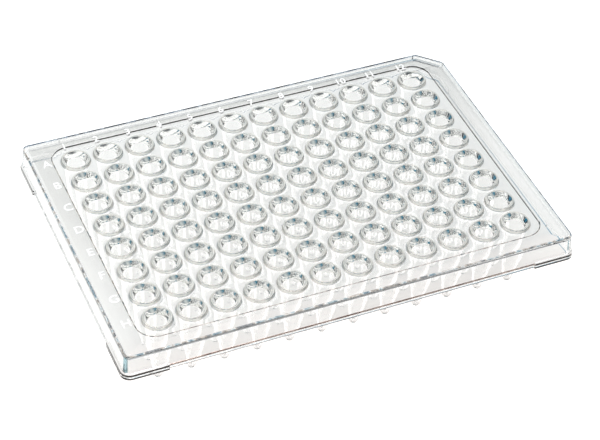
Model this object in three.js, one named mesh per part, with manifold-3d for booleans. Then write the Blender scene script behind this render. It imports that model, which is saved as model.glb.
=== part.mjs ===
// A clear semi-skirted well plate, moulded in one piece: a thin deck with a grid of conical
// tubes hanging from it, a raised sealing rim round every mouth, a label border one small
// step above the deck, and a short drafted skirt with a foot pad at each corner.
// Millimetres, +Z up. The origin is on the bench under the middle of the plate, where the
// tube tips stand; +X runs along a row from the first column, +Y towards the first row.
import * as THREE from 'three';
import { mergeVertices } from 'three/addons/utils/BufferGeometryUtils.js';
import Module from 'manifold-3d';

const wasm = await Module();
wasm.setup();

// Well grid
const rows = 8;
const columns = 12;
const pitch = 9;

// One well: rim, tube and bore
const rimRadius = 3.8;
const rimHeight = 0.8;           // rim top above the deck
const tubeLength = 20.8;         // rim top down to the tip
const tubeTopRadius = 3.2;       // outside, where the tube leaves the deck
const shoulderDepth = 11.5;      // rim top down to where the cone starts
const shoulderRadius = 2.7;      // outside, at the start of the cone
const tipRadius = 1.1;           // outside, the small flat that the plate stands on
const mouthRadius = 2.75;        // bore at the rim top
const tubeWall = 0.3;            // wall along the cone
const tipFloor = 0.5;            // plastic under the bore
const wellSides = 8;

// Deck and label border
const deckThickness = 1.1;
const deckMargin = 6;            // outermost well axis to the step round the wells
const deckCornerRadius = 5;
const borderStep = 0.5;          // border above the deck
const endBorder = 5.9;           // step to the outer edge, left and right
const sideBorder = 4.25;         // step to the outer edge, front and back
const edgeRound = 0.5;
const cornerRadius = 1.6;
const cornerCut = 5.9;           // the one cut corner, beside the last well of the first row
const cornerSteps = 3;
const deckCornerSteps = 3;

// Skirt, its bottom flange and the corner feet
const skirtDrop = 7.3;           // rim top down to the flange's underside
const skirtWall = 1;
const skirtDraft = 0.35;         // how far the wall leans out by the top of the flange
const flangeHeight = 1.15;
const flangeReach = 0.6;         // flange outside the plate's top edge
const footReach = 0.95;          // foot outside the plate's top edge
const footHeight = 1.6;
const footDrop = 0.2;            // foot below the flange
const endFootLength = 13;        // along the left and right sides
const sideFootLength = 12;       // along the front and back

// Levels and half sizes that follow
const rimTop = tubeLength;
const deckTop = rimTop - rimHeight;
const deckUnderside = deckTop - deckThickness;
const borderTop = deckTop + borderStep;
const skirtBottom = rimTop - skirtDrop;
const flangeTop = skirtBottom + flangeHeight;
const footBottom = skirtBottom - footDrop;
const halfGrid = { x: pitch * (columns - 1) / 2, y: pitch * (rows - 1) / 2 };
const halfDeck = { x: halfGrid.x + deckMargin, y: halfGrid.y + deckMargin };
const halfPlate = { x: halfDeck.x + endBorder, y: halfDeck.y + sideBorder };
const through = 1;               // how far a cutting tool runs past the face it cuts

// A closed three.js geometry as a manifold-3d solid.
function toSolid(geometry) {
  const bare = geometry.clone();
  bare.deleteAttribute('normal');
  bare.deleteAttribute('uv');
  const merged = mergeVertices(bare, 1e-4);
  const index = merged.index.array;
  const triangles = [];
  for (let i = 0; i < index.length; i += 3) {
    const [a, b, c] = [index[i], index[i + 1], index[i + 2]];
    if (a !== b && b !== c && c !== a) triangles.push(a, b, c);
  }
  return new wasm.Manifold(new wasm.Mesh({
    numProp: 3,
    vertProperties: new Float32Array(merged.attributes.position.array),
    triVerts: new Uint32Array(triangles),
  }));
}

function toGeometry(solid) {
  const mesh = solid.getMesh();
  const geometry = new THREE.BufferGeometry();
  geometry.setAttribute('position', new THREE.BufferAttribute(mesh.vertProperties, 3));
  geometry.setIndex(new THREE.BufferAttribute(mesh.triVerts, 1));
  geometry.computeVertexNormals();
  return geometry;
}

// The plate's outline in plan, moved outwards by reach: three round corners and the cut one.
function plateOutline(reach) {
  const half = { x: halfPlate.x + reach, y: halfPlate.y + reach };
  const radius = cornerRadius + reach;
  const cut = cornerCut + reach * (2 - Math.SQRT2);
  const points = [];
  const roundCorner = (signX, signY, startAngle) => {
    for (let k = 0; k <= cornerSteps; k += 1) {
      const angle = startAngle + (Math.PI / 2) * (k / cornerSteps);
      points.push(new THREE.Vector2(
        signX * (half.x - radius) + radius * Math.cos(angle),
        signY * (half.y - radius) + radius * Math.sin(angle),
      ));
    }
  };
  roundCorner(1, -1, -Math.PI / 2);
  points.push(new THREE.Vector2(half.x, half.y - cut));
  points.push(new THREE.Vector2(half.x - cut, half.y));
  roundCorner(-1, 1, Math.PI / 2);
  roundCorner(-1, -1, Math.PI);
  return points;
}

// A closed solid through a stack of flat sections with as many points each, bottom to top.
function loft(sections) {
  const count = sections[0].length;
  const index = [];
  for (let level = 0; level + 1 < sections.length; level += 1) {
    for (let k = 0; k < count; k += 1) {
      const [a, b] = [level * count + k, level * count + ((k + 1) % count)];
      index.push(a, b, b + count, a, b + count, a + count);
    }
  }
  const top = (sections.length - 1) * count;
  for (const [a, b, c] of THREE.ShapeUtils.triangulateShape(sections[0], [])) {
    index.push(a, c, b, top + a, top + b, top + c);
  }
  const geometry = new THREE.BufferGeometry();
  geometry.setFromPoints(sections.flat());
  geometry.setIndex(index);
  return toSolid(geometry);
}

// A solid through plate outlines, each given as its height and its reach.
function loftPlate(levels) {
  return loft(levels.map(({ z, reach }) => (
    plateOutline(reach).map((point) => new THREE.Vector3(point.x, point.y, z))
  )));
}

// A turned solid from radius and height pairs, bottom to top, standing on the Z axis.
function turned(profile) {
  return loft(profile.map(([radius, z]) => (
    Array.from({ length: wellSides }, (_, side) => {
      const angle = 2 * Math.PI * (side + 0.5) / wellSides;
      return new THREE.Vector3(radius * Math.cos(angle), radius * Math.sin(angle), z);
    })
  )));
}

// The skirt's inner wall keeps its thickness and leans with the outer one.
function innerReach(z) {
  return skirtDraft * (borderTop - z) / (borderTop - flangeTop) - skirtWall;
}

function shell() {
  const outside = loftPlate([
    { z: skirtBottom, reach: flangeReach },
    { z: flangeTop, reach: flangeReach },
    { z: flangeTop, reach: skirtDraft },
    { z: borderTop - edgeRound, reach: 0 },
    { z: borderTop, reach: -edgeRound },
  ]);
  const footRing = loftPlate([
    { z: footBottom, reach: footReach },
    { z: footBottom + footHeight, reach: footReach },
  ]);
  const belowFeet = footBottom - through;
  const hollow = loftPlate([
    { z: belowFeet, reach: innerReach(belowFeet) },
    { z: deckUnderside, reach: innerReach(deckUnderside) },
  ]);
  return outside.add(footRing.intersect(cornerBlocks())).subtract(hollow);
}

// Four blocks over the corners, which keep only the corner stretches of the foot ring.
function cornerBlocks() {
  const size = { x: sideFootLength + through, y: endFootLength + through };
  const outer = { x: halfPlate.x + footReach, y: halfPlate.y + footReach };
  let blocks = null;
  for (const signX of [-1, 1]) {
    for (const signY of [-1, 1]) {
      const block = new THREE.BoxGeometry(size.x, size.y, 2 * footHeight + 2 * through);
      block.translate(
        signX * (outer.x + through - size.x / 2),
        signY * (outer.y + through - size.y / 2),
        footBottom + footHeight / 2,
      );
      blocks = blocks ? blocks.add(toSolid(block)) : toSolid(block);
    }
  }
  return blocks;
}

// The field round the wells, which lies one step below the border.
function deckRecess() {
  const { x, y } = halfDeck;
  const r = deckCornerRadius;
  const shape = new THREE.Shape();
  shape.absarc(x - r, y - r, r, 0, Math.PI / 2);
  shape.absarc(r - x, y - r, r, Math.PI / 2, Math.PI);
  shape.absarc(r - x, r - y, r, Math.PI, Math.PI * 1.5);
  shape.absarc(x - r, r - y, r, Math.PI * 1.5, Math.PI * 2);
  const geometry = new THREE.ExtrudeGeometry(shape, {
    depth: borderStep + through,
    bevelEnabled: false,
    curveSegments: deckCornerSteps,
  });
  return toSolid(geometry.translate(0, 0, deckTop));
}

// One tube with its rim, solid: it joins the deck halfway through the deck's thickness.
function tubeBody() {
  const joint = (deckTop + deckUnderside) / 2;
  return turned([
    [tipRadius, 0],
    [shoulderRadius, rimTop - shoulderDepth],
    [tubeTopRadius, deckUnderside],
    [tubeTopRadius, joint],
    [rimRadius, joint],
    [rimRadius, rimTop],
  ]);
}

function tubeBore() {
  const taper = (mouthRadius - shoulderRadius + tubeWall) / shoulderDepth;
  return turned([
    [tipRadius - tubeWall, tipFloor],
    [shoulderRadius - tubeWall, rimTop - shoulderDepth],
    [mouthRadius + taper * through, rimTop + through],
  ]);
}

function wellPositions() {
  const positions = [];
  for (let row = 0; row < rows; row += 1) {
    for (let column = 0; column < columns; column += 1) {
      positions.push([column * pitch - halfGrid.x, halfGrid.y - row * pitch, 0]);
    }
  }
  return positions;
}

function wellPlate() {
  const body = tubeBody();
  const bore = tubeBore();
  let plate = shell().subtract(deckRecess());
  for (const position of wellPositions()) plate = plate.add(body.translate(position));
  for (const position of wellPositions()) plate = plate.subtract(bore.translate(position));
  return plate;
}

const clearPlastic = new THREE.MeshStandardMaterial({
  color: '#e3e8e8',
  roughness: 0.08,
  metalness: 0,
  transparent: true,
  opacity: 0.35,
});

const plateMesh = new THREE.Mesh(toGeometry(wellPlate()), clearPlastic);
plateMesh.name = 'well_plate';

const model = new THREE.Group();
model.add(plateMesh);
export default model;
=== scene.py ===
"""A clear semi-skirted well plate, moulded in one piece, standing on its tube tips."""
import math

import bmesh
import bpy
from mathutils import Matrix, Vector


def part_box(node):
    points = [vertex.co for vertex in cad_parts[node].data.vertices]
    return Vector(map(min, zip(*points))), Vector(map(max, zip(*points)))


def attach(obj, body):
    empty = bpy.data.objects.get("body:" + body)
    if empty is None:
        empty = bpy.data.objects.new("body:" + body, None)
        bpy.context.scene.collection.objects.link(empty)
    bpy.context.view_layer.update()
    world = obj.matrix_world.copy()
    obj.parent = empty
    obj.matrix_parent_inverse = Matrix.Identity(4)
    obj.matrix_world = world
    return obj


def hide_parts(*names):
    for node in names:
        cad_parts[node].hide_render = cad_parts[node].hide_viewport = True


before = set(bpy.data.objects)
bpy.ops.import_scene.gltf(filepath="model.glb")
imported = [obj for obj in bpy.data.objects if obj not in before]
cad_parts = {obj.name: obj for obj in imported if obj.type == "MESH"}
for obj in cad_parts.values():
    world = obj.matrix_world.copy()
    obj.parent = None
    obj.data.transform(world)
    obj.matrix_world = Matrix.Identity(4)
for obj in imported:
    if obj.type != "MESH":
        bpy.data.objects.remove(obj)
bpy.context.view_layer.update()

# The wells. Each is a drafted tube of clear polystyrene with a shoulder, a cone, a rounded
# tip and a raised sealing rim. All of them come out of the mould in one shot with the deck,
# so a well is made here as one square cell of that deck, ready to be set side by side.

MM = 0.001
rows, columns = 8, 12
pitch = 9 * MM
facets = 28                       # round one well; a quarter of them along each cell side
cell_side = facets // 4
plate_low, plate_high = (Vector(corner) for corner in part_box("well_plate"))
rim_top = plate_high.z
rim_height = 0.8 * MM
deck_thickness = 1.1 * MM
deck_top = rim_top - rim_height
deck_underside = deck_top - deck_thickness

# Radius and height below the rim top, in millimetres, and the finish or painted line of the face
# that ends there: from the deck over the rim, and then down the bore to its floor.
rim_profile = [
    (4.10, -0.80, ""), (3.94, -0.72, "moulded_line"), (3.86, -0.13, "rim_wall"),
    (3.75, -0.02, "moulded_line"), (3.62, 0.0, "satin_rim"), (3.42, 0.0, "satin_rim"),
    (3.31, -0.08, "moulded_line"),
]
bore_profile = [
    (2.36, -1.55, "satin_mouth"), (2.29, -1.80, ""), (2.26, -2.6, ""), (2.16, -6.5, ""),
    (2.00, -11.30, ""), (1.94, -11.80, ""), (0.70, -19.00, ""), (0.50, -19.5, ""),
    (0.25, -19.75, ""),
]
bore_floor = -19.8

# The same for the outside, from the tip up to the deck's underside.
tip_end = -(rim_top - plate_low.z) / MM
tube_profile = [
    (0.40, tip_end), (0.90, tip_end + 0.18), (1.22, tip_end + 0.65), (1.36, tip_end + 1.3),
    (2.50, -11.80), (2.60, -11.62), (2.72, -11.50), (2.76, -6.50), (2.86, -1.90),
]


def add_ring(mesh, places):
    """One closed ring of vertices at the given places."""
    return [mesh.verts.new(place) for place in places]


def join_rings(mesh, first, second):
    """A band of faces between two rings with as many vertices."""
    count = len(first)
    return [
        mesh.faces.new((first[k], first[(k + 1) % count], second[(k + 1) % count], second[k]))
        for k in range(count)
    ]


def close_ring(mesh, ring, centre):
    """A fan of faces from a ring to one point."""
    pole = mesh.verts.new(centre)
    for k, vertex in enumerate(ring):
        mesh.faces.new((vertex, ring[(k + 1) % len(ring)], pole))


def mark_layers(mesh, names):
    """A layer of face marks for each finish or painted line, by its name."""
    return {name: mesh.faces.layers.int.new(name) for name in names}


def new_object(mesh, name, materials=()):
    """The bmesh as an object at the origin."""
    data = bpy.data.meshes.new(name)
    mesh.to_mesh(data)
    mesh.free()
    for material in materials:
        data.materials.append(material)
    thing = bpy.data.objects.new(name, data)
    bpy.context.scene.collection.objects.link(thing)
    return thing


def circle_ring(mesh, radius, depth):
    """A well's ring: its first vertex faces the cell's corner."""
    places = []
    for k in range(facets):
        angle = math.radians(45) + 2 * math.pi * k / facets
        places.append((
            radius * MM * math.cos(angle), radius * MM * math.sin(angle), rim_top + depth * MM
        ))
    return add_ring(mesh, places)


def square_places(half_x, half_y, steps_x, steps_y, z):
    """Evenly spaced points round a rectangle, from its +X +Y corner towards -X."""
    places = []
    for start, end, steps in (
        ((1, 1), (-1, 1), steps_x), ((-1, 1), (-1, -1), steps_y),
        ((-1, -1), (1, -1), steps_x), ((1, -1), (1, 1), steps_y),
    ):
        for k in range(steps):
            share = k / steps
            x = start[0] + (end[0] - start[0]) * share
            y = start[1] + (end[1] - start[1]) * share
            places.append((x * half_x, y * half_y, z))
    return places


def well_cell():
    """One square of the deck with its well, open along its four cut sides."""
    mesh = bmesh.new()
    marks = mark_layers(mesh, ("satin_rim", "rim_wall", "satin_mouth", "moulded_line"))
    square = (pitch / 2, pitch / 2, cell_side, cell_side)
    above = add_ring(mesh, square_places(*square, deck_top))
    for radius, depth, finish in rim_profile + bore_profile:
        ring = circle_ring(mesh, radius, depth)
        for face in join_rings(mesh, above, ring):
            if finish:
                face[marks[finish]] = 1
        above = ring
    close_ring(mesh, above, (0, 0, rim_top + bore_floor * MM))
    below = circle_ring(mesh, *tube_profile[0])
    close_ring(mesh, below, (0, 0, plate_low.z))
    for radius, depth in tube_profile[1:]:
        ring = circle_ring(mesh, radius, depth)
        join_rings(mesh, below, ring)
        below = ring
    join_rings(mesh, below, add_ring(mesh, square_places(*square, deck_underside)))
    return new_object(mesh, "well_cell")


# The border and the skirt. A label border one small step above the wells' field, a drafted
# wall, a flange along its bottom and a foot pad at each corner, all of the same polystyrene
# moulding. The one corner that is cut tells the plate's ends apart.

field_half = Vector((pitch * columns / 2, pitch * rows / 2))
field_steps = (columns * cell_side, rows * cell_side)
deck_margin = 1.5 * MM            # from the wells' field to the step
deck_corner_radius = 5 * MM
border_top = rim_top - 0.3 * MM
step_line = 0.24 * MM             # width of the painted dark line along the step
clear_rim = 1.25 * MM             # from the border's painted grey middle to the plate's edge
edge_round = 0.32 * MM
edge_strip = 0.1 * MM             # flat strip inside the rounded edge
back_strip = 0.3 * MM             # how much wider that strip is along the back
edge_steps = 4
corner_radius = 1.6 * MM
cut_radius = 1.6 * MM
corner_cut = 5.9 * MM
arc_steps = 8
skirt_wall = 1.0 * MM
skirt_draft = 0.35 * MM
flange_top = rim_top - 6.15 * MM
flange_bottom = rim_top - 7.3 * MM
flange_reach = 0.6 * MM
flange_side = 0.22 * MM           # from the flange's underside to its plain side
foot_reach = 0.95 * MM
foot_top = flange_top + 0.25 * MM
foot_bottom = flange_bottom - 0.2 * MM
foot_shoulder = 0.5 * MM          # depth of the painted dark line round a foot's top edge
foot_side = 0.6 * MM              # from a foot's underside to its plain side
end_foot_length = 13 * MM
side_foot_length = 12 * MM
foot_end_slope = 0.15 * MM
bend = 0.12 * MM                  # the small roundings where wall, flange and feet meet
low_bend = 0.06 * MM              # along the bottom edges
deck_bend = 0.08 * MM             # where the wall's inside meets the deck
plate_half = Vector((plate_high.x - foot_reach, plate_high.y - foot_reach))

# Which way a face leans, as its outward direction in plan: past side_facing it belongs to that
# side, and a corner's painted glint lies between corner_from and corner_to of its turn.
side_facing = 0.5
corner_from, corner_to = 0.05, 0.8
# The near sides are the front and left ones, and end partway round the corners they share
# with the far ones.
near_lean, near_limit = (0.4, 0.9), 0.2


def rounded_outline(corners):
    """Points round a convex polygon with a radius at each corner, counterclockwise.

    Each is its place and the unit vector that points straight out there.
    """
    outline = []
    count = len(corners)
    for k, (corner, radius) in enumerate(corners):
        arriving = (corner - corners[k - 1][0]).normalized()
        leaving = (corners[(k + 1) % count][0] - corner).normalized()
        out_before = Vector((arriving.y, -arriving.x))
        out_after = Vector((leaving.y, -leaving.x))
        centre = corner - radius * (out_before + out_after) / (1 + out_before.dot(out_after))
        start = math.atan2(out_before.y, out_before.x)
        sweep = math.acos(max(-1.0, min(1.0, out_before.dot(out_after))))
        for step in range(arc_steps + 1):
            angle = start + sweep * step / arc_steps
            out = Vector((math.cos(angle), math.sin(angle)))
            outline.append((centre + radius * out, out))
    return outline


def rectangle(half, radius):
    """The corners of a rounded rectangle, counterclockwise from -X -Y."""
    signs = ((-1, -1), (1, -1), (1, 1), (-1, 1))
    return [(Vector((x * half.x, y * half.y)), radius) for x, y in signs]


def plate_outline():
    """The plate's outline, with the feet's ends added along its straight sides."""
    half = plate_half
    corners = rectangle(half, corner_radius)
    corners[2:3] = [
        (Vector((half.x, half.y - corner_cut)), cut_radius),
        (Vector((half.x - corner_cut, half.y)), cut_radius),
    ]
    outline = rounded_outline(corners)
    foot_x = half.x + foot_reach - side_foot_length
    foot_y = half.y + foot_reach - end_foot_length
    for slope in (0, foot_end_slope):
        for sign in (-1, 1):
            outline.append((Vector((sign * (foot_x - slope), -half.y)), Vector((0, -1))))
            outline.append((Vector((sign * (foot_x - slope), half.y)), Vector((0, 1))))
            outline.append((Vector((-half.x, sign * (foot_y - slope))), Vector((-1, 0))))
            outline.append((Vector((half.x, sign * (foot_y - slope))), Vector((1, 0))))
    outline.sort(key=lambda point: math.atan2(point[0].y, point[0].x))
    on_foot = [
        abs(place.x) > foot_x - foot_end_slope / 2 and abs(place.y) > foot_y - foot_end_slope / 2
        for place, _ in outline
    ]
    return outline, on_foot


def outline_ring(mesh, outline, reach, z):
    """A ring that stands out from an outline by reach, at height z."""
    return add_ring(mesh, [(*(place + reach * out), z) for place, out in outline])


def bridge_rings(mesh, first, second):
    """Triangles between two flat rings with different numbers of vertices."""
    def by_angle(ring):
        return sorted(ring, key=lambda vertex: math.atan2(vertex.co.y, vertex.co.x))

    def angle_of(ring, k):
        vertex = ring[k % len(ring)]
        return math.atan2(vertex.co.y, vertex.co.x) + (2 * math.pi if k >= len(ring) else 0)

    first, second = by_angle(first), by_angle(second)
    faces = []
    i = j = 0
    while i < len(first) or j < len(second):
        here, there = first[i % len(first)], second[j % len(second)]
        step_first = j >= len(second) or (
            i < len(first) and angle_of(first, i + 1) < angle_of(second, j + 1)
        )
        if step_first:
            i += 1
            faces.append(mesh.faces.new((here, first[i % len(first)], there)))
        else:
            j += 1
            faces.append(mesh.faces.new((here, second[j % len(second)], there)))
    return faces


def inner_reach(z):
    """The inner wall leans with the outer one and keeps the wall's thickness."""
    return skirt_draft * (border_top - z) / (border_top - flange_top) - skirt_wall


def skirt_levels():
    """The rings of the border and the skirt: out, down the wall, and back up inside.

    Each is its reach past the outline and its height, between the feet and on them, and
    the name of the stretch that ends there.
    """
    levels = [
        ((-clear_rim, border_top),) * 2 + ("border",),
        ((-edge_round - edge_strip, border_top),) * 2 + ("over_wall",),
    ]
    for k in range(edge_steps + 1):
        turn = math.pi / 2 * k / edge_steps
        place = (edge_round * (math.sin(turn) - 1), border_top - edge_round * (1 - math.cos(turn)))
        levels.append((place, place, "edge"))
    flange_low, foot_low = flange_bottom + low_bend, foot_bottom + low_bend
    inner_low = inner_reach(flange_bottom)
    levels += [
        ((skirt_draft, flange_top + bend), (skirt_draft, foot_top + bend), "wall"),
        ((skirt_draft + bend, flange_top), (skirt_draft + bend, foot_top), "flange_root"),
        ((flange_reach - bend, flange_top), (foot_reach - bend, foot_top), ""),
        ((flange_reach, flange_top - bend), (foot_reach, foot_top - foot_shoulder), "rim_line"),
        ((flange_reach, flange_bottom + flange_side), (foot_reach, foot_bottom + foot_side), ""),
        ((flange_reach, flange_low), (foot_reach, foot_low), "rim_line"),
        ((flange_reach - low_bend, flange_bottom), (foot_reach - low_bend, foot_bottom),
         "rim_line"),
        ((inner_low + bend, flange_bottom), (inner_low + bend, foot_bottom), ""),
        ((inner_low, flange_bottom + bend), (inner_low, foot_bottom + bend), ""),
    ]
    inner_high = inner_reach(deck_underside)
    for share_in, share_down in ((0, 1), (0.3, 0.3), (1, 0)):
        place = (inner_high - share_in * deck_bend, deck_underside - share_down * deck_bend)
        levels.append((place, place, ""))
    return levels


def painted_line_at(stretch, out, footed):
    """The painted shade or glint of a face, from its stretch, the way it faces and whether it is a
    foot's.

    The lines are kept off the far sides' skirt, where they would show through the deck.
    """
    farthest = max(out.x, out.y)
    cut_side = out.x > 0 and out.y > 0
    if stretch == "wall" and corner_from < abs(out.y) < corner_to and not cut_side:
        return "corner_line"
    if stretch == "over_wall" and farthest > side_facing:
        return "over_wall"
    if stretch == "rim_line" and footed and farthest < side_facing:
        return "foot_line"
    if stretch in ("rim_line", "flange_root") and not footed and out.y < -side_facing:
        return "flange_line"
    if stretch == "edge":
        return "back_edge" if farthest > side_facing else "edge_line"
    return None


def border_and_skirt():
    """Everything outside the wells' field, open along the field's edge."""
    mesh = bmesh.new()
    field_top = add_ring(mesh, square_places(*field_half, *field_steps, deck_top))
    step_outline = rounded_outline(
        rectangle(field_half + Vector((deck_margin, deck_margin)), deck_corner_radius)
    )
    marks = mark_layers(mesh, (
        "step_line", "edge_line", "foot_line", "flange_line", "corner_line", "satin_border",
        "over_wall", "back_edge",
    ))
    ring = outline_ring(mesh, step_outline, 0, deck_top)
    bridge_rings(mesh, field_top, ring)
    # The step's painted dark line is its upright face on the far sides and a strip on top on the
    # near ones.
    for reach, on_top in ((0, False), (step_line, True)):
        last, ring = ring, outline_ring(mesh, step_outline, reach, border_top)
        for face, (_, out) in zip(join_rings(mesh, last, ring), step_outline):
            near = near_lean[0] * out.x + near_lean[1] * out.y < near_limit
            face[marks["step_line"]] = int(on_top == near)

    outline, on_foot = plate_outline()
    last = ring
    for k, (plain, foot, stretch) in enumerate(skirt_levels()):
        places = []
        for (place, out), footed in zip(outline, on_foot):
            reach, z = foot if footed else plain
            if stretch == "over_wall":
                reach -= back_strip * max(0, out.y)
            places.append((*(place + reach * out), z))
        ring = add_ring(mesh, places)
        if k == 0:
            # The border takes the painted shade that greys it towards the back.
            for face in bridge_rings(mesh, last, ring):
                face[marks["satin_border"]] = 1
        else:
            for face, (_, out), footed in zip(join_rings(mesh, last, ring), outline, on_foot):
                finish = painted_line_at(stretch, out, footed)
                if finish:
                    face[marks[finish]] = 1
        last = ring
    field_under = add_ring(mesh, square_places(*field_half, *field_steps, deck_underside))
    bridge_rings(mesh, last, field_under)
    return new_object(mesh, "border_and_skirt")


# The clear plastic. All of the plate is one shot of polystyrene, and each face of the mould
# leaves its own finish on it: polished steel leaves clear gloss, and honed steel a soft one.
# A clear edge bends in what stands round it, which gives each line its own tone; here those lines
# are painted into the edges' colours as shade and glints, and the honed faces and the border carry
# painted grey shade too.

plastic_ior = 1.5                 # between acrylic's 1.49 and polystyrene's 1.59
lamp_passing = "#f7f7f7"          # what is left of lamp light behind one wall


def linear(hex_colour):
    """An sRGB hex colour as linear red, green, blue and alpha."""
    channels = [int(hex_colour[k:k + 2], 16) / 255 for k in (1, 3, 5)]
    curve = [c / 12.92 if c <= 0.04045 else ((c + 0.055) / 1.055) ** 2.4 for c in channels]
    return (*curve, 1.0)


def tint(hex_colour):
    """The base colour for clear plastic that shows hex_colour when a white light is behind.

    The shader takes the square root of it at each surface.
    """
    return (*(channel ** 2 for channel in linear(hex_colour)[:3]), 1.0)


def add_node(tree, kind, settings=None, inputs=None):
    """A node with its settings, and each named input set to a value or linked to a socket."""
    node = tree.nodes.new(kind)
    for name, value in (settings or {}).items():
        setattr(node, name, value)
    for name, value in (inputs or {}).items():
        if isinstance(value, bpy.types.NodeSocket):
            tree.links.new(value, node.inputs[name])
        else:
            node.inputs[name].default_value = value
    return node


def new_material(name):
    """An empty node material and its output node."""
    material = bpy.data.materials.new(name)
    material.use_nodes = True
    material.node_tree.nodes.clear()
    return material, add_node(material.node_tree, "ShaderNodeOutputMaterial")


def clear_polystyrene(name, roughness, colour="#ffffff"):
    """Clear injection-moulded plastic and its shader node. It lets lamp light through."""
    material, output = new_material(name)
    tree = material.node_tree
    plastic = add_node(tree, "ShaderNodeBsdfPrincipled", inputs={
        "Base Color": tint(colour),
        "Roughness": roughness,
        "IOR": plastic_ior,
        "Transmission Weight": 1.0,
    })
    passing = add_node(tree, "ShaderNodeBsdfTransparent", inputs={"Color": linear(lamp_passing)})
    path = add_node(tree, "ShaderNodeLightPath")
    soft = add_node(tree, "ShaderNodeMath", {"operation": "MAXIMUM"}, {
        0: path.outputs["Is Shadow Ray"], 1: path.outputs["Is Diffuse Ray"],
    })
    mix = add_node(tree, "ShaderNodeMixShader", inputs={
        0: soft.outputs[0], 1: plastic.outputs[0], 2: passing.outputs[0],
    })
    tree.links.new(mix.outputs[0], output.inputs["Surface"])
    return material, plastic


def set_stops(ramp, stops, colour_of=linear):
    """The ramp's stops, as pairs of place and sRGB colour."""
    elements = ramp.color_ramp.elements
    while len(elements) > 1:
        elements.remove(elements[-1])
    for k, (place, colour) in enumerate(stops):
        stop = elements[0] if k == 0 else elements.new(place)
        stop.position, stop.color = place, colour_of(colour)


def fading_polystyrene(name, front_y, back_y, front_colour, back_colour):
    """Polished clear plastic that goes from one tone at front_y to another at back_y."""
    material, plastic = clear_polystyrene(name, 0.0)
    tree = material.node_tree
    place = add_node(tree, "ShaderNodeTexCoord")
    split = add_node(tree, "ShaderNodeSeparateXYZ", inputs={0: place.outputs["Object"]})
    fade = add_node(tree, "ShaderNodeMapRange", inputs={
        "Value": split.outputs["Y"], "From Min": front_y, "From Max": back_y,
    })
    ramp = add_node(tree, "ShaderNodeValToRGB", inputs={0: fade.outputs[0]})
    set_stops(ramp, [(0.0, front_colour), (1.0, back_colour)], tint)
    tree.links.new(ramp.outputs[0], plastic.inputs["Base Color"])
    return material


def patched_polystyrene(name, roughness, size_mm, stops, gloss=0.5):
    """Clear plastic painted with irregular patches of shade and highlight, size_mm across, for its
    fine edges.
    """
    material, plastic = clear_polystyrene(name, roughness)
    plastic.inputs["Specular IOR Level"].default_value = gloss
    tree = material.node_tree
    place = add_node(tree, "ShaderNodeTexCoord")
    noise = add_node(tree, "ShaderNodeTexNoise", inputs={
        "Vector": place.outputs["Object"], "Scale": 1 / (size_mm * MM), "Detail": 1.0,
    })
    ramp = add_node(tree, "ShaderNodeValToRGB", inputs={0: noise.outputs[0]})
    set_stops(ramp, stops, tint)
    tree.links.new(ramp.outputs[0], plastic.inputs["Base Color"])
    return material


# Polished faces: quite clear, with sharp glints and bright white edges.
plastic, _ = clear_polystyrene("polished_clear_plastic", 0.0)
# Rim tops, honed flat for a sealing film: a pale, softly blurred ring, with painted grey shade in
# its colour.
rim_plastic, _ = clear_polystyrene("satin_clear_plastic", 0.15, "#ebece8")
# The rims' outer walls, honed more coarsely, with painted shade: a warm grey band without sharp
# glints.
wall_plastic, _ = clear_polystyrene("satin_rim_wall_plastic", 0.3, "#e8e9e5")
# The label border: clear, with painted shade that makes it a little greyer towards the back.
border_plastic = fading_polystyrene(
    "border_plastic", -10 * MM, 40 * MM, "#ffffff", "#e8e8e7"
)
# The strip over the far walls: painted shade, cool grey, for the wall that is looked through along
# its height.
over_wall_plastic, _ = clear_polystyrene("over_wall_plastic", 0.05, "#dfe2e3")
# The mouths' cones, lightly honed, with painted shade: a faint grey ring inside the rim.
mouth_plastic, _ = clear_polystyrene("satin_mouth_plastic", 0.1, "#f1f2f0")
# The roundings of each rim: painted shade, thin grey lines. One patch is about half a rim long.
line_plastic = patched_polystyrene("painted_rim_line_plastic", 0.3, 4, [
    (0.35, "#8a959a"), (0.46, "#b8babc"), (0.54, "#ccc5be"), (0.65, "#9aa4a8"),
])
# The step's sharp edge: painted shade, a thin dark line, brown or pale in places.
step_plastic = patched_polystyrene("step_edge_plastic", 0.2, 2.5, [
    (0.35, "#3c444c"), (0.43, "#8c8074"), (0.50, "#c8c4be"), (0.56, "#7a6858"),
    (0.64, "#343a40"),
])
# The flange's edges: painted shade, a thin reddish brown line.
flange_plastic = patched_polystyrene("flange_edge_plastic", 0.1, 8, [
    (0.35, "#7c5c50"), (0.50, "#b8a49a"), (0.65, "#8c7468"),
])
# The rounded top edge of the near sides: mottled, with painted blue, white and warm glints and
# painted shade between them.
edge_plastic = patched_polystyrene("rounded_edge_plastic", 0.1, 2.5, [
    (0.34, "#8ca2b0"), (0.42, "#bccfd6"), (0.48, "#f6f8f8"), (0.55, "#cfc6bd"),
    (0.64, "#979b9f"),
])
# The feet's edges: painted shade, nearly black lines that stand in for the thick pads turning the
# light aside.
foot_plastic = patched_polystyrene("foot_edge_plastic", 0.1, 6, [
    (0.35, "#0c0a0a"), (0.50, "#2a2220"), (0.65, "#141414"),
], 0.15)
# The rounded top edge of the far sides: a painted reflection of the room, a dark slate line with
# pale gaps.
back_plastic = patched_polystyrene("back_edge_plastic", 0.1, 5, [
    (0.36, "#1c2a3c"), (0.46, "#5c6c80"), (0.52, "#a4b0bc"), (0.60, "#2c3848"),
])
# The skirt's round corners: an upright painted teal glint.
corner_plastic = patched_polystyrene("skirt_corner_plastic", 0.1, 3, [
    (0.38, "#507a84"), (0.50, "#a0bcc4"), (0.62, "#6c9098"),
])


# The moulding. The plate leaves the mould as one closed body of polystyrene. Here the cells are
# set out on the well grid, welded to each other and to the border, and given the finish or the
# painted shade and glints that their faces are marked for.

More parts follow.
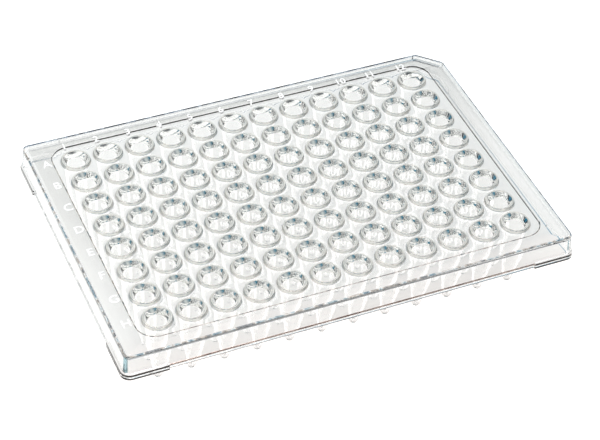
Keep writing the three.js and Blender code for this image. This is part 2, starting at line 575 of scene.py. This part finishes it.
seam_gap = 0.004 * MM             # vertices this close along a seam are one
crease_angle = math.radians(32)
finishes_and_painted_lines = (
    ("satin_rim", "Rim Plastic", rim_plastic),
    ("moulded_line", "Line Plastic", line_plastic),
    ("edge_line", "Edge Plastic", edge_plastic),
    ("foot_line", "Foot Plastic", foot_plastic),
    ("rim_wall", "Wall Plastic", wall_plastic),
    ("satin_mouth", "Mouth Plastic", mouth_plastic),
    ("flange_line", "Flange Plastic", flange_plastic),
    ("corner_line", "Corner Plastic", corner_plastic),
    ("step_line", "Step Plastic", step_plastic),
    ("satin_border", "Border Plastic", border_plastic),
    ("over_wall", "Over Wall Plastic", over_wall_plastic),
    ("back_edge", "Back Plastic", back_plastic),
)


def moulding_tree():
    """Cells on a grid of points, joined to the border and welded along the seams.

    Gives the tree and each input's identifier, by its name.
    """
    tree = bpy.data.node_groups.new("moulding", "GeometryNodeTree")
    tree.interface.new_socket("Geometry", in_out="OUTPUT", socket_type="NodeSocketGeometry")
    ids = {}
    for name, kind, value in (
        ("Border", "NodeSocketGeometry", None),
        ("Cell", "NodeSocketObject", None),
        ("Columns", "NodeSocketInt", columns),
        ("Rows", "NodeSocketInt", rows),
        ("Length", "NodeSocketFloat", pitch * (columns - 1)),
        ("Width", "NodeSocketFloat", pitch * (rows - 1)),
        ("Weld", "NodeSocketFloat", seam_gap),
        ("Plastic", "NodeSocketMaterial", None),
        *((given_as, "NodeSocketMaterial", None) for _, given_as, _ in finishes_and_painted_lines),
    ):
        socket = tree.interface.new_socket(name, in_out="INPUT", socket_type=kind)
        if value is not None:
            socket.default_value = value
        ids[name] = socket.identifier
    given = add_node(tree, "NodeGroupInput").outputs
    cell = add_node(tree, "GeometryNodeObjectInfo", inputs={"Object": given["Cell"]})
    grid = add_node(tree, "GeometryNodeMeshGrid", inputs={
        "Size X": given["Length"], "Size Y": given["Width"],
        "Vertices X": given["Columns"], "Vertices Y": given["Rows"],
    })
    wells = add_node(tree, "GeometryNodeInstanceOnPoints", inputs={
        "Points": grid.outputs["Mesh"], "Instance": cell.outputs["Geometry"],
    })
    field = add_node(tree, "GeometryNodeRealizeInstances", inputs={
        "Geometry": wells.outputs["Instances"],
    })
    whole = add_node(tree, "GeometryNodeJoinGeometry")
    tree.links.new(given["Border"], whole.inputs[0])
    tree.links.new(field.outputs[0], whole.inputs[0])
    welded = add_node(tree, "GeometryNodeMergeByDistance", inputs={
        "Geometry": whole.outputs[0], "Distance": given["Weld"],
    })
    finished = add_node(tree, "GeometryNodeSetMaterial", inputs={
        "Geometry": welded.outputs[0], "Material": given["Plastic"],
    })
    for mark, given_as, _ in finishes_and_painted_lines:
        marked = add_node(tree, "GeometryNodeInputNamedAttribute", {"data_type": "BOOLEAN"}, {
            "Name": mark,
        })
        finished = add_node(tree, "GeometryNodeSetMaterial", inputs={
            "Geometry": finished.outputs[0], "Selection": marked.outputs["Attribute"],
            "Material": given[given_as],
        })
    result = add_node(tree, "NodeGroupOutput")
    tree.links.new(finished.outputs[0], result.inputs[0])
    return tree, ids


def mould_plate():
    """The whole plate as one plain mesh."""
    cell = well_cell()
    border = border_and_skirt()
    tree, ids = moulding_tree()
    moulder = border.modifiers.new("moulding", "NODES")
    moulder.node_group = tree
    moulder[ids["Cell"]] = cell
    moulder[ids["Plastic"]] = plastic
    for _, given_as, material in finishes_and_painted_lines:
        moulder[ids[given_as]] = material
    evaluated = border.evaluated_get(bpy.context.evaluated_depsgraph_get())
    data = bpy.data.meshes.new_from_object(evaluated)
    for used in (border, cell):
        bpy.data.objects.remove(used)
    mesh = bmesh.new()
    mesh.from_mesh(data)
    bmesh.ops.recalc_face_normals(mesh, faces=mesh.faces)
    mesh.to_mesh(data)
    mesh.free()
    data.shade_smooth()
    data.set_sharp_from_angle(angle=crease_angle)
    data.name = "moulded_plate"
    plate = bpy.data.objects.new("moulded_plate", data)
    bpy.context.scene.collection.objects.link(plate)
    return plate


plate = mould_plate()
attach(plate, "root")
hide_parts("well_plate")


# The well coordinates. Letters down the left border and numerals along the back one, in low
# relief on the same polystyrene. They are cut into the mould and blasted there, so they come
# out frosted on the clear plate.

letter_size, numeral_size = 3.7 * MM, 3.2 * MM
letters_x = -57.3 * MM
letter_lift = 0.6 * MM            # how far a letter's middle is behind its row's
numerals_y = 37.6 * MM
numeral_shift = 1.3 * MM          # how far a numeral's middle is left of its column's
last_numeral_shift = 0.8 * MM
relief = 0.12 * MM
root = 0.02 * MM                  # how deep a label stands in the face below it
stroke_gain = 0.008               # strokes grow by this share of the size on each side
curve_steps = 3                   # straight pieces to each curve of a letter
# Blasted grain is about 0.03 mm across, too fine to show; it is drawn ten times as coarse.
grain_size = 0.3 * MM
grain_depth = 0.02 * MM
label_seam = 0.002 * MM


def frosted_relief():
    """Blasted plastic: it scatters light, so it looks white beside the clear border."""
    material, output = new_material("frosted_plastic")
    tree = material.node_tree
    place = add_node(tree, "ShaderNodeTexCoord")
    grain = add_node(tree, "ShaderNodeTexNoise", inputs={
        "Vector": place.outputs["Object"], "Scale": 1 / grain_size, "Detail": 2.0,
    })
    bump = add_node(tree, "ShaderNodeBump", inputs={
        "Strength": 0.4, "Distance": grain_depth, "Height": grain.outputs[0],
    })
    frosted = add_node(tree, "ShaderNodeBsdfPrincipled", inputs={
        "Base Color": linear("#fefefe"), "Roughness": 0.55, "IOR": plastic_ior,
        "Normal": bump.outputs[0],
    })
    tree.links.new(frosted.outputs[0], output.inputs["Surface"])
    return material


def relief_text(words, size, x, y, low):
    """One label as a mesh, centred at x and y, from height low up to the relief."""
    curve = bpy.data.curves.new("label", "FONT")
    curve.body, curve.size = words, size
    curve.align_x = curve.align_y = "CENTER"
    curve.resolution_u = curve_steps
    curve.offset = stroke_gain * size
    high = border_top + relief
    curve.extrude = (high - low) / 2
    text = bpy.data.objects.new("label", curve)
    bpy.context.scene.collection.objects.link(text)
    evaluated = text.evaluated_get(bpy.context.evaluated_depsgraph_get())
    data = bpy.data.meshes.new_from_object(evaluated)
    bpy.data.objects.remove(text)
    data.transform(Matrix.Translation((x, y, (high + low) / 2)))
    return data


labels = bmesh.new()
for row in range(rows):
    y = ((rows - 1) / 2 - row) * pitch + letter_lift
    letter = "ABCDEFGH"[row]
    labels.from_mesh(relief_text(letter, letter_size, letters_x, y, border_top - root))
for column in range(columns):
    shift = last_numeral_shift if column == columns - 1 else numeral_shift
    x = (column - (columns - 1) / 2) * pitch - shift
    numeral = str(column + 1)
    labels.from_mesh(relief_text(numeral, numeral_size, x, numerals_y, deck_top - root))
bmesh.ops.remove_doubles(labels, verts=labels.verts, dist=label_seam)
bmesh.ops.recalc_face_normals(labels, faces=labels.faces)
coordinates = new_object(labels, "well_coordinates", [frosted_relief()])
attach(coordinates, "root")


# The table. A sheet of white paper under the plate, matt. Its colour carries painted shade: what
# is seen through the plate is the paper alone, warmer near its front and greyer at its back, and
# it glows enough to come out white in the open and in what the plate mirrors.

floor_half = 3.0
shade_front, shade_back = -32 * MM, 60 * MM
open_glow = 0.5                   # added where it is seen straight on
mirrored_glow = 0.35              # added where the plastic mirrors it


def white_floor():
    """Matt white paper, which keeps the plate's shadow, with painted shade in its colour along Y.
    """
    material, output = new_material("white_table")
    tree = material.node_tree
    place = add_node(tree, "ShaderNodeTexCoord")
    split = add_node(tree, "ShaderNodeSeparateXYZ", inputs={0: place.outputs["Object"]})
    fade = add_node(tree, "ShaderNodeMapRange", inputs={
        "Value": split.outputs["Y"], "From Min": shade_front, "From Max": shade_back,
    })
    shade = add_node(tree, "ShaderNodeValToRGB", inputs={0: fade.outputs[0]})
    set_stops(shade, [
        (0.0, "#e9e3df"), (0.17, "#eeedea"), (0.76, "#eeedea"), (1.0, "#e6e6e4"),
    ])
    paper = add_node(tree, "ShaderNodeBsdfDiffuse", inputs={"Color": shade.outputs[0]})
    glow = add_node(tree, "ShaderNodeEmission", inputs={"Color": linear("#fffdfb")})
    path = add_node(tree, "ShaderNodeLightPath")
    mirrored = add_node(tree, "ShaderNodeMath", {"operation": "MINIMUM"}, {
        0: path.outputs["Glossy Depth"], 1: 1.0,
    })
    shine = add_node(tree, "ShaderNodeMath", {"operation": "MULTIPLY"}, {
        0: mirrored.outputs[0], 1: mirrored_glow,
    })
    strength = add_node(tree, "ShaderNodeMath", {"operation": "MULTIPLY_ADD"}, {
        0: path.outputs["Is Camera Ray"], 1: open_glow, 2: shine.outputs[0],
    })
    tree.links.new(strength.outputs[0], glow.inputs["Strength"])
    both = add_node(tree, "ShaderNodeAddShader", inputs={0: paper.outputs[0], 1: glow.outputs[0]})
    tree.links.new(both.outputs[0], output.inputs["Surface"])
    return material


table = bmesh.new()
table.faces.new([
    table.verts.new((x * floor_half, y * floor_half, plate_low.z))
    for x, y in ((-1, -1), (1, -1), (1, 1), (-1, 1))
])
floor = new_object(table, "table_top", [white_floor()])


# The room. Clear plastic shows little but what stands round it: a bright ceiling over pale
# studio walls, with a teal and a slate stretch of wall and a dark band low down, which is
# where the blue and dark glints in the mouths and along the far edges come from.

wall_colours = (                  # bearing in degrees from the back (+Y) towards the right
    (-180, "#9aa4a8"), (-150, "#808c90"), (-100, "#b8bcbc"), (-60, "#d8dada"),
    (-30, "#e8eaec"), (-14, "#e4e8ea"), (-4, "#a8b0b6"), (4, "#a8b0b6"), (10, "#dce2e4"),
    (22, "#e8ecec"), (30, "#a8b8c2"), (37, "#a6b6be"), (43, "#2f88a8"), (53, "#2f88a8"),
    (59, "#4a90ac"), (68, "#70909c"), (90, "#a09a92"), (106, "#8c8e8e"), (118, "#2c3c48"),
    (150, "#34444e"), (165, "#7c868a"), (179, "#9aa4a8"),
)
ceiling_light = 2.0
ceiling_starts, ceiling_full = 0.80, 0.90     # heights on a globe round the plate, from 0 to 1
low_band = "#10151f"
low_band_ends, walls_full = 0.36, 0.54

world = bpy.data.worlds.new("studio")
bpy.context.scene.world = world
world.use_nodes = True
tree = world.node_tree
tree.nodes.clear()
direction = add_node(tree, "ShaderNodeTexCoord")
way = add_node(tree, "ShaderNodeSeparateXYZ", inputs={0: direction.outputs["Generated"]})
bearing = add_node(tree, "ShaderNodeMath", {"operation": "ARCTAN2"}, {
    0: way.outputs["X"], 1: way.outputs["Y"],
})
turn_share = add_node(tree, "ShaderNodeMapRange", inputs={
    "Value": bearing.outputs[0], "From Min": -math.pi, "From Max": math.pi,
})
walls = add_node(tree, "ShaderNodeValToRGB", inputs={0: turn_share.outputs[0]})
set_stops(walls, [((degrees + 180) / 360, colour) for degrees, colour in wall_colours])
rise = add_node(tree, "ShaderNodeMapRange", inputs={
    "Value": way.outputs["Z"], "From Min": ceiling_starts, "From Max": ceiling_full,
})
colours = add_node(tree, "ShaderNodeMix", {"data_type": "RGBA"})
tree.links.new(rise.outputs[0], colours.inputs[0])
tree.links.new(walls.outputs[0], colours.inputs[6])
colours.inputs[7].default_value = (ceiling_light, ceiling_light, ceiling_light, 1)
lift = add_node(tree, "ShaderNodeMapRange", inputs={
    "Value": way.outputs["Z"], "From Min": low_band_ends, "From Max": walls_full,
})
low_walls = add_node(tree, "ShaderNodeMix", {"data_type": "RGBA"})
tree.links.new(lift.outputs[0], low_walls.inputs[0])
low_walls.inputs[6].default_value = linear(low_band)
tree.links.new(colours.outputs[2], low_walls.inputs[7])
sky = add_node(tree, "ShaderNodeBackground", inputs={
    "Color": low_walls.outputs[2], "Strength": 1.0,
})
add_node(tree, "ShaderNodeOutputWorld", inputs={"Surface": sky.outputs[0]})


# The lamp and the camera. One square softbox hangs over the table, in front and to the left,
# and a long lens looks down on the plate from the front left.

lamp_side = 0.4
lamp_power = 1.15
lamp_place = Vector((-0.16, -0.12, 0.38))
lamp_aim = Vector((-0.04, 0.02, 0))
lamp_data = bpy.data.lights.new("overhead_softbox", "AREA")
lamp_data.shape = "RECTANGLE"
lamp_data.size = lamp_data.size_y = lamp_side
lamp_data.energy = lamp_power
lamp = bpy.data.objects.new("overhead_softbox", lamp_data)
lamp.location = lamp_place
lamp.rotation_euler = (lamp_aim - lamp_place).to_track_quat("-Z", "Y").to_euler()
bpy.context.scene.collection.objects.link(lamp)

film_width, focal_length = 36, 121.2          # millimetres
eye = Vector((-0.16692, -0.36025, rim_top + 0.3533))
azimuth, elevation, roll = (math.radians(a) for a in (25.18, 42.51, -3.19))
forward = Vector((
    math.sin(azimuth) * math.cos(elevation), math.cos(azimuth) * math.cos(elevation),
    -math.sin(elevation),
))
right = forward.cross(Vector((0, 0, 1))).normalized()
up = right.cross(forward)
tilt = Matrix.Rotation(roll, 3, forward)
right, up = tilt @ right, tilt @ up
camera_data = bpy.data.cameras.new("camera")
camera_data.sensor_width = film_width
camera_data.lens = focal_length
camera = bpy.data.objects.new("camera", camera_data)
camera.matrix_world = Matrix((
    (right.x, up.x, -forward.x, eye.x),
    (right.y, up.y, -forward.y, eye.y),
    (right.z, up.z, -forward.z, eye.z),
    (0, 0, 0, 1),
))
bpy.context.scene.collection.objects.link(camera)
bpy.context.scene.camera = camera

bpy.context.scene.view_settings.view_transform = "Standard"
cycles = bpy.context.scene.cycles
# A ray crosses many tube walls before it leaves the plate.
cycles.max_bounces = cycles.transmission_bounces = cycles.glossy_bounces = 200
cycles.transparent_max_bounces = 64
